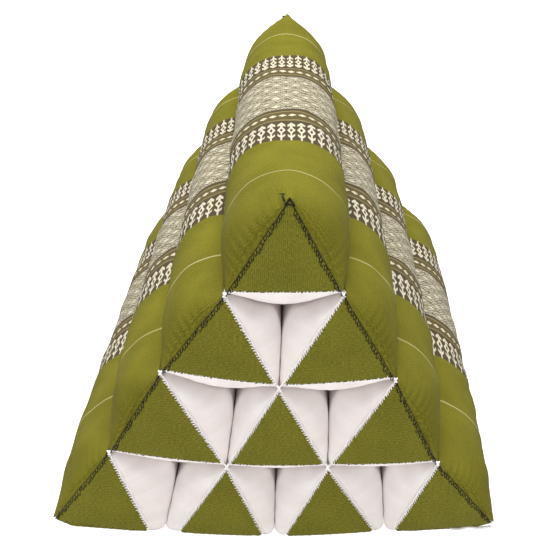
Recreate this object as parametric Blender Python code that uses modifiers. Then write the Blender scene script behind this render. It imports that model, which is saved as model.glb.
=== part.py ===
"""Thai triangle cushion: a wedge of ten kapok-filled triangular tubes in four rows.

Each tube is a filled muslin casing of three walls. The tubes are sewn together along
their corners, so between them lie six inverted pockets, where neighbouring walls bulge
until they meet. Strips of patterned cloth cover the two sloping sides, and a green
triangular panel closes each end of each tube.

Units are metres, +Z is up. The wedge lies on z = 0 with its length along Y, and its
front end faces -Y. A seam point is where tube corners are sewn together: row line 0 is
the apex, and row line 4 is the base.
"""

from math import atan, cos, pi, sin, sqrt
from typing import NamedTuple

import bmesh
import bpy
import numpy as np

OBJECT_NAME = "thai_triangle_cushion"

ROWS = 4
LENGTH = 0.496             # seam to seam, front panel to back panel
CLOTH = 0.0012             # printed cotton and panel cloth
GAP = 0.0004               # air between one piece and the next
EDGE_GAP = 0.0009          # air under the long edges of a cover strip
CORNER_INSET = 0.0008      # each tube corner stops short of its seam point
STRIP_INSET = 0.0026       # a cover strip stops short of the seam in the valley

# How far the left and right outer walls of each row swell. Most of it comes close behind
# the panel, and the last share of it farther along.
OUTER_BULGE = ((0.0230, 0.0230), (0.0215, 0.0215), (0.0210, 0.0210), (0.0150, 0.0180))
OUTER_REACH = 0.040        # distance from a panel over which an outer wall swells
LATE_SHARE = 0.18          # share of the swell that comes later
LATE_REACH = 0.120
INNER_REACH = 0.030        # the same for the side walls inside a pocket
ROOF_REACH = 0.022         # the same for a pocket's roof
BASE_REACH = 0.020         # the same for the base, which flattens on the floor
BOW_REACH = 0.100          # distance over which the bow of the end face dies out

RIDGE_SINK = 0.0095        # the ridge rounds off and drops between its two pinched tips
RIDGE_REACH = 0.110

DRIFT = (-0.0080, -0.0075, -0.0015, 0.0065, 0.0095)  # lean of each row line at the back end
NARROWING = 0.025          # the back end is this much narrower than the front
ACROSS_SHIFT = -0.0035     # brings the middle of the whole cushion to x = 0

SLIT_HALF_GAP = 0.0003     # half the gap between two walls that touch in a pocket
FUNNEL_HALF_WIDTH = 0.004  # the small opening where three walls meet
FUNNEL_DROP = 0.0030
FUNNEL_DEPTH = 0.0160

PANEL_INSET = 0.0010       # a panel stops short of the edge of the casing
PANEL_CROWN = 0.0050       # how far a panel swells at its middle
CASING_CROWN = 0.0030      # the same for the casing behind it

WALL_STEPS = 6             # facets across one wall
DEPTHS = (0.0, 0.005, 0.016, 0.032, 0.075)  # stations between a panel and mid length


class Seam(NamedTuple):
    """A seam point of the end face: its place across and up, and its bow past the end."""

    row_line: int
    place: int
    across: float
    up: float
    bow: float


class Pocket(NamedTuple):
    """An inverted pocket below a row line: where its slit starts, and how far its roof sags."""

    row_line: int
    place: int
    slit_share: float
    sag: float


class Spread(NamedTuple):
    """How far the two panels beside a base seam keep clear of it, to its left and right."""

    place: int
    left: float
    right: float


class Station(NamedTuple):
    """A cross-section of a tube: its depth behind the nearest panel, and which end that is."""

    depth: float
    end: float

    @property
    def share(self) -> float:
        """Share of the way from the front seams to the back ones."""
        return self.depth / LENGTH if self.end < 0.0 else 1.0 - self.depth / LENGTH


SEAMS = (
    #    line place across    up      bow
    Seam(0, 0, +0.0123, 0.2903, +0.000),
    Seam(1, 0, -0.0327, 0.2159, +0.000),
    Seam(1, 1, +0.0503, 0.2175, +0.000),
    Seam(2, 0, -0.0815, 0.1497, +0.000),
    Seam(2, 1, +0.0055, 0.1416, +0.006),
    Seam(2, 2, +0.0905, 0.1460, +0.000),
    Seam(3, 0, -0.1257, 0.0735, -0.002),
    Seam(3, 1, -0.0345, 0.0673, +0.005),
    Seam(3, 2, +0.0429, 0.0684, +0.005),
    Seam(3, 3, +0.1270, 0.0702, +0.001),
    Seam(4, 0, -0.1755, 0.0065, +0.001),
    Seam(4, 1, -0.0849, 0.0015, +0.007),
    Seam(4, 2, +0.0025, 0.0015, +0.010),
    Seam(4, 3, +0.0884, 0.0015, +0.002),
    Seam(4, 4, +0.1775, 0.0050, -0.005),
)

POCKETS = (
    #      line place slit   sag
    Pocket(1, 0, 0.49, 0.0175),
    Pocket(2, 0, 0.63, 0.0170),
    Pocket(2, 1, 0.44, 0.0160),
    Pocket(3, 0, 0.58, 0.0110),
    Pocket(3, 1, 0.48, 0.0110),
    Pocket(3, 2, 0.51, 0.0105),
)

SPREADS = (
    #      place left   right
    Spread(1, 0.011, 0.009),
    Spread(2, 0.007, 0.006),
    Spread(3, 0.005, 0.007),
)

SEAM_AT = {(seam.row_line, seam.place): seam for seam in SEAMS}
POCKET_AT = {(pocket.row_line, pocket.place): pocket for pocket in POCKETS}
SPREAD_AT = {spread.place: spread for spread in SPREADS}

EVEN_SHARES = np.linspace(0.0, 1.0, WALL_STEPS + 1)
BASE_SHARES = np.array([0.0, 0.09, 0.30, 0.50, 0.70, 0.91, 1.0])


def clear_scene() -> None:
    """Remove every object, so that the script starts from an empty scene."""
    for old in list(bpy.data.objects):
        bpy.data.objects.remove(old, do_unlink=True)


def new_material(name: str, colour: tuple, roughness: float):
    """A plain cloth material of one colour."""
    material = bpy.data.materials.new(name)
    material.use_nodes = True
    shader = material.node_tree.nodes["Principled BSDF"]
    shader.inputs["Base Color"].default_value = (*colour, 1.0)
    shader.inputs["Roughness"].default_value = roughness
    shader.inputs["Metallic"].default_value = 0.0
    return material


# --- cross-sections, as points (across, up) -------------------------------------------


def swell(depth: float, reach: float) -> float:
    """Share of its full bulge that a wall has at a depth behind its panel, a quarter ellipse."""
    if depth >= reach:
        return 1.0
    return sqrt(1.0 - (1.0 - depth / reach) ** 2)


def ease(share: float) -> float:
    """Smooth step from 0 to 1 with level ends."""
    share = min(max(share, 0.0), 1.0)
    return share * share * (3.0 - 2.0 * share)


def seam_point(row_line: int, place: int, station: Station) -> np.ndarray:
    """Place of a seam across and up at a station; the row lines drift towards the back end."""
    seam = SEAM_AT[row_line, place]
    across = seam.across * (1.0 - NARROWING * station.share)
    across += DRIFT[row_line] * station.share + ACROSS_SHIFT
    sink = RIDGE_SINK * ease(station.depth / RIDGE_REACH) if row_line == 0 else 0.0
    return np.array([across, seam.up - sink])


def along(start: np.ndarray, end: np.ndarray, shares: np.ndarray) -> np.ndarray:
    """Points at the given shares of the straight line from start to end."""
    return start + (end - start) * shares[:, None]


def arc_wall(start: np.ndarray, end: np.ndarray, bulge: float) -> np.ndarray:
    """Circular arc from start to end that swells to the right of that direction by bulge."""
    chord = end - start
    span = float(np.hypot(*chord))
    half_angle = max(2.0 * atan(2.0 * bulge / span), 1e-4)
    angles = (2.0 * EVEN_SHARES - 1.0) * half_angle
    radius = span / (2.0 * sin(half_angle))
    direction = chord / span
    outward = np.array([direction[1], -direction[0]])
    middle = (start + end) / 2.0
    forward = np.outer(radius * np.sin(angles), direction)
    sideways = np.outer(radius * (np.cos(angles) - cos(half_angle)), outward)
    return middle + forward + sideways


def outer_wall(
    row: int, side: int, station: Station, start: np.ndarray, end: np.ndarray
) -> np.ndarray:
    """Outer wall of a row at a station; side 0 is the left wall and side 1 the right one."""
    early = (1.0 - LATE_SHARE) * swell(station.depth, OUTER_REACH)
    late = LATE_SHARE * ease(station.depth / LATE_REACH)
    return arc_wall(start, end, OUTER_BULGE[row][side] * (early + late))


def roof_shares(pocket: Pocket) -> np.ndarray:
    """Shares across the roof of a pocket: three steps to its slit, and three beyond it."""
    left = np.linspace(0.0, pocket.slit_share, 4)
    right = np.linspace(pocket.slit_share, 1.0, 4)
    return np.concatenate([left, right[1:]])


def roof_line(pocket: Pocket, station: Station) -> np.ndarray:
    """Full sag of a pocket's roof, a parabola between its two upper seams."""
    shares = roof_shares(pocket)
    line = along(
        seam_point(pocket.row_line, pocket.place, station),
        seam_point(pocket.row_line, pocket.place + 1, station),
        shares,
    )
    line[:, 1] -= pocket.sag * 4.0 * shares * (1.0 - shares)
    return line


def pocket_side(
    pocket: Pocket, station: Station, side: int, top: np.ndarray, bottom: np.ndarray
) -> np.ndarray:
    """Full shape of a pocket's side wall, from its upper seam to its lower one.

    The wall runs just below the sagging roof, turns down at the funnel where three walls
    meet, and follows the slit. Side -1 is the wall on the left of the slit, +1 the right.
    """
    roof = roof_line(pocket, station)
    if side > 0:
        roof = roof[::-1]
    slit_top = roof[3]
    slit_foot = seam_point(pocket.row_line + 1, pocket.place + 1, station)
    slit_drop = slit_foot[1] - slit_top[1]
    shoulder = slit_top + [side * FUNNEL_HALF_WIDTH, -FUNNEL_DROP]
    funnel_share = -FUNNEL_DEPTH / slit_drop
    funnel_foot = slit_top + (slit_foot - slit_top) * funnel_share
    slit_middle = (funnel_foot + slit_foot) / 2.0
    below_roof = np.array([0.0, -2.0 * SLIT_HALF_GAP])
    beside_slit = np.array([side * 2.0 * SLIT_HALF_GAP, 0.0])
    return np.array([
        top,
        roof[1] + below_roof,
        roof[2] + below_roof,
        shoulder,
        funnel_foot + beside_slit,
        slit_middle + beside_slit,
        bottom,
    ])


def blend(flat: np.ndarray, full: np.ndarray, share: float) -> np.ndarray:
    """Wall that lies the given share of the way from its flat shape to its full one."""
    return flat + (full - flat) * share


def corner_points(row: int, place: int, station: Station) -> tuple:
    """Apex, left foot and right foot of a tube, each a little inside its seam point."""
    apex = seam_point(row, place, station)
    left = seam_point(row + 1, place, station)
    right = seam_point(row + 1, place + 1, station)
    if row == ROWS - 1:
        open_share = 1.0 - swell(station.depth, BASE_REACH)
        if place > 0:
            left[0] += SPREAD_AT[place].right * open_share
        if place < row:
            right[0] -= SPREAD_AT[place + 1].left * open_share
    centre = (apex + left + right) / 3.0
    return tuple(
        corner + (centre - corner) * (CORNER_INSET / np.hypot(*(centre - corner)))
        for corner in (apex, left, right)
    )


def left_wall(row: int, place: int, station: Station) -> np.ndarray:
    """Left wall of a tube from apex to foot."""
    apex, foot, _ = corner_points(row, place, station)
    if place == 0:
        return outer_wall(row, 0, station, apex, foot)
    full = pocket_side(POCKET_AT[row, place - 1], station, +1, apex, foot)
    return blend(along(apex, foot, EVEN_SHARES), full, swell(station.depth, INNER_REACH))


def right_wall(row: int, place: int, station: Station) -> np.ndarray:
    """Right wall of a tube from foot to apex."""
    apex, _, foot = corner_points(row, place, station)
    if place == row:
        return outer_wall(row, 1, station, foot, apex)
    full = pocket_side(POCKET_AT[row, place], station, -1, apex, foot)[::-1]
    return blend(along(foot, apex, EVEN_SHARES), full, swell(station.depth, INNER_REACH))


def under_wall(row: int, place: int, station: Station) -> np.ndarray:
    """Underside of a tube from left foot to right foot: a pocket's roof, or flat on the floor."""
    _, left, right = corner_points(row, place, station)
    if row == ROWS - 1:
        line = along(left, right, BASE_SHARES)
        line[1:-1, 1] *= 1.0 - swell(station.depth, BASE_REACH)
        return line
    pocket = POCKET_AT[row + 1, place]
    shares = roof_shares(pocket)
    sag = pocket.sag * swell(station.depth, ROOF_REACH)
    line = along(left, right, shares)
    line[:, 1] -= sag * 4.0 * shares * (1.0 - shares)
    return line


def bow_of_ring(row: int, place: int) -> np.ndarray:
    """Bow of the end face at each point of a tube's ring."""
    apex = SEAM_AT[row, place].bow
    left = SEAM_AT[row + 1, place].bow
    right = SEAM_AT[row + 1, place + 1].bow
    sides = ((apex, left), (left, right), (right, apex))
    return np.concatenate([a + (b - a) * EVEN_SHARES[:-1] for a, b in sides])


def stations() -> list:
    """Every station along a tube, from its front panel to its back one."""
    front = [Station(depth, -1.0) for depth in DEPTHS]
    back = [Station(depth, +1.0) for depth in reversed(DEPTHS)]
    return front + [Station(LENGTH / 2.0, -1.0)] + back


def tube_rings(row: int, place: int) -> np.ndarray:
    """Rings of a tube, as an array of stations x ring points x (across, along, up).

    Each ring runs from the apex down the left wall, along the underside and up the right
    wall, with WALL_STEPS points to each wall.
    """
    bow = bow_of_ring(row, place)
    rings = []
    for station in stations():
        walls = [wall(row, place, station)[:-1] for wall in (left_wall, under_wall, right_wall)]
        outline = np.concatenate(walls)
        fade = max(0.0, 1.0 - station.depth / BOW_REACH) ** 2
        lengthwise = station.end * (LENGTH / 2.0 - station.depth + bow * fade)
        rings.append(np.column_stack([outline[:, 0], lengthwise, outline[:, 1]]))
    return np.array(rings)


# --- meshes -----------------------------------------------------------------------------


def grid_faces(rows: int, columns: int, closed: bool) -> list:
    """Triangles of a grid of vertices numbered row by row; closed joins the last column to the first."""
    last = columns if closed else columns - 1
    faces = []
    for r in range(rows - 1):
        for c in range(last):
            here, beside = r * columns + c, r * columns + (c + 1) % columns
            beyond, across = here + columns, beside + columns
            faces += [(here, beside, across), (here, across, beyond)]
    return faces


def add_object(name: str, collection, vertices, faces, material, closed: bool):
    """Make a mesh object and link it; a closed body gets its faces turned outwards."""
    mesh = bpy.data.meshes.new(name)
    mesh.from_pydata([tuple(point) for point in vertices], [], faces)
    body = bmesh.new()
    body.from_mesh(mesh)
    if closed:
        bmesh.ops.recalc_face_normals(body, faces=body.faces)
    body.to_mesh(mesh)
    body.free()
    mesh.materials.append(material)
    piece = bpy.data.objects.new(name, mesh)
    collection.objects.link(piece)
    mesh.shade_smooth()
    mesh.set_sharp_from_angle(angle=pi / 4.0)
    return piece


def add_thickness(piece, thickness: float) -> None:
    """Give an open sheet its cloth thickness, on the side its faces point to."""
    solid = piece.modifiers.new("Cloth", "SOLIDIFY")
    solid.thickness = thickness
    solid.offset = 1.0
    solid.use_even_offset = True


def make_tube(name: str, row: int, place: int, collection, material):
    """Filled casing of one tube: its rings lofted, each end closed by a low crowned fan."""
    rings = tube_rings(row, place)
    count, ring_size = rings.shape[:2]
    vertices = list(rings.reshape(-1, 3))
    faces = grid_faces(count, ring_size, closed=True)
    for station, end in ((0, -1.0), (count - 1, +1.0)):
        centre = rings[station].mean(axis=0) + [0.0, end * CASING_CROWN, 0.0]
        hub = len(vertices)
        vertices.append(centre)
        first = station * ring_size
        faces += [(hub, first + k, first + (k + 1) % ring_size) for k in range(ring_size)]
    return add_object(name, collection, vertices, faces, material, closed=True)


def surface_normals(grid: np.ndarray) -> np.ndarray:
    """Unit normals of a grid of points, from the cross product of its two directions."""
    lengthwise = np.gradient(grid, axis=0)
    crosswise = np.gradient(grid, axis=1)
    normals = np.cross(lengthwise, crosswise)
    return normals / np.linalg.norm(normals, axis=2, keepdims=True)


def wall_grid(row: int, place: int, first_step: int, steps: int) -> np.ndarray:
    """Part of a tube's skin: ring points from first_step on, with both edges drawn in."""
    rings = tube_rings(row, place)
    picks = np.arange(first_step, first_step + steps + 1) % rings.shape[1]
    grid = rings[:, picks].copy()
    for edge, inner in ((0, 1), (-1, -2)):
        run = grid[:, inner] - grid[:, edge]
        length = np.linalg.norm(run, axis=1, keepdims=True)
        grid[:, edge] += run * (STRIP_INSET / length)
    return grid


def make_cover(name: str, grid: np.ndarray, collection, material):
    """Strip of patterned cloth that lies over the outer wall of a tube."""
    lift = np.full((1, grid.shape[1], 1), GAP)
    lift[:, [0, -1]] = EDGE_GAP
    lifted = grid + surface_normals(grid) * lift
    rows, columns = grid.shape[:2]
    faces = [face[::-1] for face in grid_faces(rows, columns, closed=False)]
    piece = add_object(name, collection, lifted.reshape(-1, 3), faces, material, closed=False)
    add_thickness(piece, CLOTH)
    return piece


def make_panel(name: str, row: int, place: int, end: float, collection, material):
    """Triangular end panel: an inset outline, a ring half way in and a crowned middle."""
    rings = tube_rings(row, place)
    outline = rings[0] if end < 0.0 else rings[-1]
    centre = outline.mean(axis=0)
    inward = centre - outline
    reach = np.linalg.norm(inward, axis=1, keepdims=True)
    rim = outline + inward * (PANEL_INSET / reach)
    lift = np.array([0.0, end, 0.0])
    rim = rim + lift * GAP
    halfway = (rim + centre) / 2.0 + lift * (0.75 * PANEL_CROWN)
    middle = centre + lift * PANEL_CROWN
    size = len(rim)
    vertices = [*rim, *halfway, middle]
    faces = grid_faces(2, size, closed=True)
    faces += [(size + k, size + (k + 1) % size, 2 * size) for k in range(size)]
    if end > 0.0:
        faces = [face[::-1] for face in faces]
    piece = add_object(name, collection, vertices, faces, material, closed=False)
    add_thickness(piece, CLOTH)
    return piece


def build() -> None:
    """Make every piece of the cushion in its own collection."""
    clear_scene()
    collection = bpy.data.collections.new(OBJECT_NAME)
    bpy.context.scene.collection.children.link(collection)
    muslin = new_material("cream_muslin", (0.79, 0.74, 0.70), 0.85)
    green = new_material("green_cotton", (0.30, 0.30, 0.05), 0.80)
    patterned = new_material("patterned_cotton", (0.45, 0.42, 0.28), 0.80)

    for row in range(ROWS):
        for place in range(row + 1):
            label = f"{row + 1}_{place + 1}"
            make_tube(f"tube_{label}", row, place, collection, muslin)
            make_panel(f"panel_front_{label}", row, place, -1.0, collection, green)
            make_panel(f"panel_back_{label}", row, place, +1.0, collection, green)

    # Ring points run apex, left wall, underside, right wall: the top strip starts on the
    # right wall's foot and passes over the apex, and the others cover one outer wall.
    right_foot = 2 * WALL_STEPS
    make_cover("cover_1", wall_grid(0, 0, right_foot, 2 * WALL_STEPS), collection, patterned)
    for row in range(1, ROWS):
        left = wall_grid(row, 0, 0, WALL_STEPS)
        right = wall_grid(row, row, right_foot, WALL_STEPS)
        make_cover(f"cover_{row + 1}_left", left, collection, patterned)
        make_cover(f"cover_{row + 1}_right", right, collection, patterned)


build()
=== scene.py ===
"""Thai triangle cushion, dressed: muslin casings, woven cover strips, green end panels and hand stitching.

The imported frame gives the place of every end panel. The seams between the tubes are read from
those panels, and each fine surface is a formula on a grid over the seams. Units are metres, +Z is
up, and the front end faces -Y.
"""

import logging
import math
from dataclasses import dataclass, field, replace
from enum import Enum

import bmesh
import bpy
import numpy as np
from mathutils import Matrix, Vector


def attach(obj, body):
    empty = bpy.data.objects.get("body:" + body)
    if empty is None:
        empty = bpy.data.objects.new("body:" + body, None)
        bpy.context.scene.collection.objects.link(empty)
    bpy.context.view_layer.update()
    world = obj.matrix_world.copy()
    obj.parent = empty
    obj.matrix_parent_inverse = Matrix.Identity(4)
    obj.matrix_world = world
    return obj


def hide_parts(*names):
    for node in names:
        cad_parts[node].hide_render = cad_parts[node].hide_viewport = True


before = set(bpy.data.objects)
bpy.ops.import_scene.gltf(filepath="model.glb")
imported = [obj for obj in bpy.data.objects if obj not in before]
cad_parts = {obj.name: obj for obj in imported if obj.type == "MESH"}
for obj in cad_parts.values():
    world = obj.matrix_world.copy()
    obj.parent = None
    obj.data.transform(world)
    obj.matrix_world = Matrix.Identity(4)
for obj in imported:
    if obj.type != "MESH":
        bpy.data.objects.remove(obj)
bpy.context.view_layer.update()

LOG = logging.getLogger("triangle_cushion")

ROWS = 4
BODY = "root"
# How far the bands of the left and right strips of rows 2 to 4 lie towards the back.
STRIP_SET_BACK = ((0.002, 0.0), (0.006, 0.002), (0.022, 0.024))
# Share of the top tube's walls that its strip leaves free in each valley.
TOP_EDGE_SHARE = 0.026


class End(Enum):
    """The two ends of the cushion, by the sign of Y that their panels face."""

    FRONT = -1.0
    BACK = +1.0

    @property
    def word(self) -> str:
        """Name of the end as node names spell it."""
        return self.name.lower()


class Wall(Enum):
    """The three walls of a tube, in ring order from the apex."""

    LEFT = 0
    UNDER = 1
    RIGHT = 2


class Corner(Enum):
    """The three corners of a tube, in ring order."""

    APEX = 0
    LEFT_FOOT = 1
    RIGHT_FOOT = 2


WALL_CORNERS = {
    Wall.LEFT: (Corner.APEX, Corner.LEFT_FOOT),
    Wall.UNDER: (Corner.LEFT_FOOT, Corner.RIGHT_FOOT),
    Wall.RIGHT: (Corner.RIGHT_FOOT, Corner.APEX),
}


# --- numbers ------------------------------------------------------------------------------


def swell(depth: np.ndarray, reach: float) -> np.ndarray:
    """Share of its bulge that a wall has at a depth behind its panel: a quarter ellipse.

    Args:
        depth: Distance behind the nearest panel.
        reach: Distance at which the bulge is full.

    Returns:
        Numbers from 0 to 1, of the shape of depth.
    """
    left = 1.0 - np.clip(depth / reach, 0.0, 1.0)
    return np.sqrt(1.0 - left * left)


def ease(share: np.ndarray) -> np.ndarray:
    """Smooth step from 0 to 1 with level ends."""
    share = np.clip(share, 0.0, 1.0)
    return share * share * (3.0 - 2.0 * share)


def unit(vectors: np.ndarray) -> np.ndarray:
    """Vectors (..., 3) scaled to length 1."""
    return vectors / np.maximum(np.linalg.norm(vectors, axis=-1, keepdims=True), 1e-12)


def walk(line: np.ndarray) -> np.ndarray:
    """Distance from the start of a line of points to each of them, along the line."""
    return np.concatenate([[0.0], np.cumsum(np.linalg.norm(np.diff(line, axis=0), axis=1))])


def straight(start: np.ndarray, stop: np.ndarray, u: np.ndarray) -> np.ndarray:
    """Points (n, len(u), 2) at shares u of the way from each start to its stop."""
    return start[:, None] + (stop - start)[:, None] * u[None, :, None]


def resample(line: np.ndarray, shares: np.ndarray) -> np.ndarray:
    """Points at the given shares of a line's own length.

    Args:
        line: Points (n, 2).
        shares: Shares from 0 to 1.

    Returns:
        Points (len(shares), 2).
    """
    walked = walk(line)
    at = shares * walked[-1]
    return np.column_stack([np.interp(at, walked, line[:, k]) for k in range(2)])


def ripple(across: np.ndarray, along: np.ndarray, seed: int, pitch: float) -> np.ndarray:
    """Soft uneven swelling, the sum of a few waves with seeded directions and phases.

    Args:
        across: Distance across the cloth.
        along: Distance along the cloth.
        seed: Chooses the waves.
        pitch: Length of the longest wave.

    Returns:
        Heights of about -1 to 1.
    """
    draw = np.random.default_rng(seed)
    total = np.zeros(np.broadcast(across, along).shape)
    for octave in range(5):
        angle, phase = draw.uniform(0.0, math.tau, 2)
        wave = math.tau / (pitch * 0.72**octave)
        total += 0.8**octave * np.sin(
            wave * (across * math.cos(angle) + along * math.sin(angle)) + phase
        )
    return total / 2.2


# --- meshes -------------------------------------------------------------------------------


def grid_quads(rows: int, columns: int, closed: bool = False) -> np.ndarray:
    """Quads of a grid of vertices numbered row by row.

    Args:
        rows: Rows of vertices.
        columns: Vertices in a row.
        closed: Whether the last column joins the first.

    Returns:
        Vertex numbers (faces, 4).
    """
    last = columns if closed else columns - 1
    r, c = np.meshgrid(np.arange(rows - 1), np.arange(last), indexing="ij")
    beside = (c + 1) % columns
    quads = [r * columns + c, r * columns + beside, (r + 1) * columns + beside, (r + 1) * columns + c]
    return np.stack(quads, axis=-1).reshape(-1, 4)


def make_mesh(
    name: str, points: np.ndarray, faces: list, uv: np.ndarray | None = None, outward: bool = False
) -> bpy.types.Object:
    """Make a smooth mesh object at the origin.

    Args:
        name: Name of the object.
        points: Vertices (n, 3).
        faces: Arrays of faces, each array with its own number of corners.
        uv: UV of each vertex (n, 2).
        outward: Whether to turn the faces of a closed body outwards.

    Returns:
        The new object.
    """
    mesh = bpy.data.meshes.new(name)
    mesh.from_pydata(points.tolist(), [], [face for group in faces for face in group.tolist()])
    if uv is not None:
        layer = mesh.uv_layers.new(name="Cloth")
        corner = np.empty(len(mesh.loops), np.int32)
        mesh.loops.foreach_get("vertex_index", corner)
        layer.data.foreach_set("uv", uv[corner].astype(np.float32).ravel())
    if outward:
        body = bmesh.new()
        body.from_mesh(mesh)
        bmesh.ops.recalc_face_normals(body, faces=body.faces)
        body.to_mesh(mesh)
        body.free()
    mesh.shade_smooth()
    piece = bpy.data.objects.new(name, mesh)
    bpy.context.scene.collection.objects.link(piece)
    return piece


def thicken(piece: bpy.types.Object, thickness: float) -> None:
    """Give a sheet its cloth thickness, on the side that its faces point to."""
    solid = piece.modifiers.new("Cloth thickness", "SOLIDIFY")
    solid.thickness = thickness
    solid.offset = 1.0
    solid.use_even_offset = False


def surface_normals(grid: np.ndarray) -> np.ndarray:
    """Unit normals of a grid of points (rows, columns, 3), out of the ring order's outer side."""
    return unit(np.cross(np.gradient(grid, axis=0), np.gradient(grid, axis=1)))


# --- materials ----------------------------------------------------------------------------


def linear(red: int, green: int, blue: int) -> tuple:
    """Linear colour with alpha, from display values of 0 to 255."""
    shares = [value / 255.0 for value in (red, green, blue)]
    return (*[s / 12.92 if s <= 0.04045 else ((s + 0.055) / 1.055) ** 2.4 for s in shares], 1.0)


class Weave:
    """Builds a material's node tree; fields are sockets that vary over the cloth."""

    def __init__(self, name: str, roughness: float, sheen: float) -> None:
        """Start a cloth material.

        Args:
            name: Name of the material.
            roughness: Roughness of the shader.
            sheen: Weight of the soft sheen of fibres at a glancing angle.
        """
        self.material = bpy.data.materials.new(name)
        self.material.use_nodes = True
        self.tree = self.material.node_tree
        self.shader = self.tree.nodes["Principled BSDF"]
        settings = {
            "Roughness": roughness, "Specular IOR Level": 0.08,
            "Sheen Weight": sheen, "Sheen Roughness": 0.45,
        }
        for setting, value in settings.items():
            self.shader.inputs[setting].default_value = value

    def plug(self, socket, value) -> None:
        """Link a field to a socket, or set a plain number or colour on it."""
        if isinstance(value, Field):
            self.tree.links.new(value.socket, socket)
        else:
            socket.default_value = value

    def uv(self) -> tuple:
        """The cloth's own two coordinates, as fields across and along."""
        node = self.tree.nodes.new("ShaderNodeUVMap")
        node.uv_map = "Cloth"
        split = self.tree.nodes.new("ShaderNodeSeparateXYZ")
        self.tree.links.new(node.outputs["UV"], split.inputs[0])
        return Field(self, split.outputs[0]), Field(self, split.outputs[1])

    def join(self, across, along) -> "Field":
        """A vector from two fields, for a texture to read."""
        node = self.tree.nodes.new("ShaderNodeCombineXYZ")
        self.plug(node.inputs[0], across)
        self.plug(node.inputs[1], along)
        return Field(self, node.outputs[0])

    def noise(self, where: "Field", scale: float, detail: float = 3.0) -> "Field":
        """Noise of about 0 to 1 read at a vector."""
        node = self.tree.nodes.new("ShaderNodeTexNoise")
        node.inputs["Scale"].default_value = scale
        node.inputs["Detail"].default_value = detail
        self.tree.links.new(where.socket, node.inputs["Vector"])
        return Field(self, node.outputs[0])

    def mix(self, share, below, above) -> "Field":
        """Colour that goes from below to above as share goes from 0 to 1."""
        node = self.tree.nodes.new("ShaderNodeMix")
        node.data_type = "RGBA"
        self.plug(node.inputs[0], share)
        self.plug(node.inputs[6], below)
        self.plug(node.inputs[7], above)
        return Field(self, node.outputs[2])

    def dress(self, colour, height: "Field | None", relief: float) -> bpy.types.Material:
        """Set the colour, and a bump of the given height in metres.

        Args:
            colour: Field or colour of the cloth.
            height: Field of the bump's height, 0 to 1.
            relief: Height in metres that 1 stands for.

        Returns:
            The finished material.
        """
        self.plug(self.shader.inputs["Base Color"], colour)
        if height is not None:
            bump = self.tree.nodes.new("ShaderNodeBump")
            bump.inputs["Strength"].default_value = 1.0
            bump.inputs["Distance"].default_value = relief
            self.tree.links.new(height.socket, bump.inputs["Height"])
            self.tree.links.new(bump.outputs[0], self.shader.inputs["Normal"])
        return self.material


class Field:
    """A number that varies over the cloth, with ordinary arithmetic."""

    def __init__(self, weave: Weave, socket) -> None:
        """Wrap a node's output socket."""
        self.weave = weave
        self.socket = socket

    def calc(self, operation: str, *others) -> "Field":
        """Result of a Math node on this field and the others."""
        node = self.weave.tree.nodes.new("ShaderNodeMath")
        node.operation = operation
        for slot, value in zip(node.inputs, (self, *others)):
            self.weave.plug(slot, value)
        return Field(self.weave, node.outputs[0])

    def __add__(self, other) -> "Field":
        """Sum."""
        return self.calc("ADD", other)

    def __sub__(self, other) -> "Field":
        """Difference."""
        return self.calc("SUBTRACT", other)

    def __mul__(self, other) -> "Field":
        """Product."""
        return self.calc("MULTIPLY", other)

    def __truediv__(self, other) -> "Field":
        """Quotient."""
        return self.calc("DIVIDE", other)

    def __abs__(self) -> "Field":
        """Size without sign."""
        return self.calc("ABSOLUTE")

    def invert(self) -> "Field":
        """One minus this field."""
        return self.calc("MULTIPLY_ADD", -1.0, 1.0)

    def cell(self) -> "Field":
        """Place within a unit cell, from -0.5 to 0.5."""
        return self.calc("FRACT") - 0.5

    def either(self, other) -> "Field":
        """Larger of the two."""
        return self.calc("MAXIMUM", other)

    def both(self, other) -> "Field":
        """Smaller of the two."""
        return self.calc("MINIMUM", other)

    def over(self, edge, soft: float) -> "Field":
        """1 where this field is above an edge and 0 below it, with a soft step."""
        node = self.weave.tree.nodes.new("ShaderNodeMapRange")
        node.interpolation_type = "SMOOTHSTEP"
        self.weave.plug(node.inputs["Value"], self - edge)
        node.inputs["From Min"].default_value = -soft
        node.inputs["From Max"].default_value = soft
        return Field(self.weave, node.outputs[0])

    def under(self, edge, soft: float) -> "Field":
        """1 where this field is below an edge and 0 above it, with a soft step."""
        return self.over(edge, soft).invert()

    def within(self, low: float, high: float, soft: float) -> "Field":
        """1 between two edges and 0 outside them."""
        return self.over(low, soft).both(self.under(high, soft))

    def wave(self, pitch: float) -> "Field":
        """Wave of 0 to 1 with a crest every pitch."""
        return (self * (math.tau / pitch)).calc("SINE") * 0.5 + 0.5


@dataclass(frozen=True)
class ThreadFinish:
    """Cotton thread of one colour."""

    name: str
    colour: tuple

    def material(self) -> bpy.types.Material:
        """Matt thread with a faint twist, read from the object's own coordinates."""
        weave = Weave(self.name, 0.75, 0.1)
        node = weave.tree.nodes.new("ShaderNodeTexCoord")
        where = Field(weave, node.outputs["Object"])
        twist = weave.noise(where, 1500.0, 1.0)
        dark = tuple(c * 0.8 for c in self.colour[:3]) + (1.0,)
        return weave.dress(weave.mix(twist, dark, self.colour), twist, 0.0002)


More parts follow.
